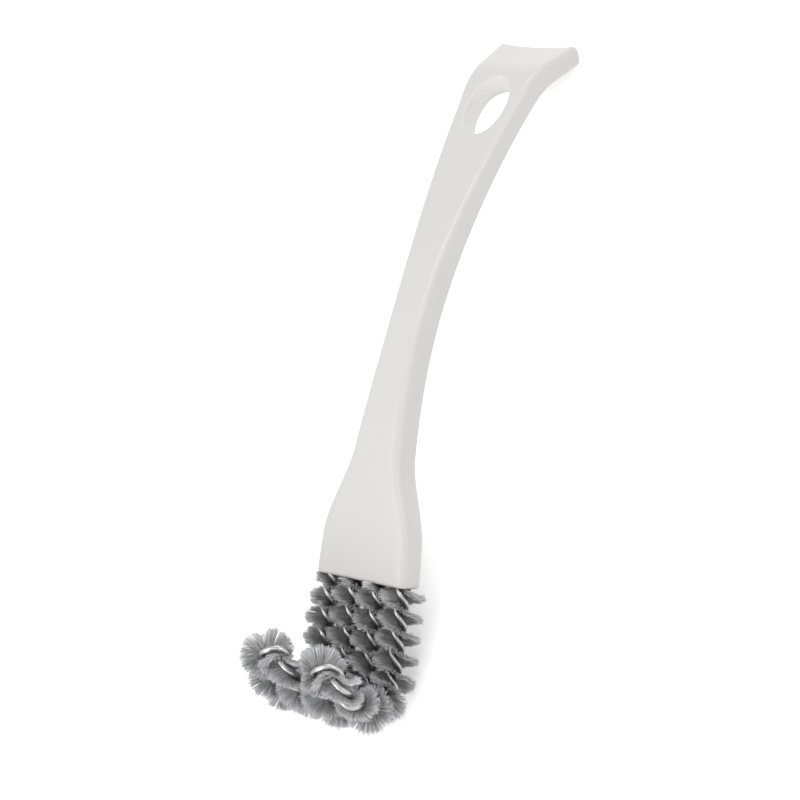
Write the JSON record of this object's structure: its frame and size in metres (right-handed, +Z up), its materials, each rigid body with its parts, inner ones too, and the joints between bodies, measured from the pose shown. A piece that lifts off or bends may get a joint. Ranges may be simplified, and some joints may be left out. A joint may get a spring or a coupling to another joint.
{
  "type": "cage cleaning brush",
  "caption": "Hand brush with a bowed moulded handle, a hanging eye and hooked twisted-wire brush loops for scrubbing round cage bars.",
  "frame": {"origin": "on the table, under the middle of the brush's bounding box, with the brush lying on its back", "axes": "+Y along the handle from the bristles to the lip, +X across the head, +Z up, the side the hook points to"},
  "size_m": [0.048, 0.2498, 0.048],
  "materials": {
    "white_plastic": "smooth satin white moulding",
    "steel_wire": "bright drawn steel wire",
    "grey_nylon": "fine grey nylon filaments with paler tips"
  },
  "bodies": {
    "root": {"handle": "white_plastic", "left_loop_wire_a": "steel_wire", "left_loop_wire_b": "steel_wire", "right_loop_wire_a": "steel_wire", "right_loop_wire_b": "steel_wire", "left_outer_bristles": "grey_nylon", "left_inner_bristles": "grey_nylon", "right_inner_bristles": "grey_nylon", "right_outer_bristles": "grey_nylon"}
  },
  "joints": []
}
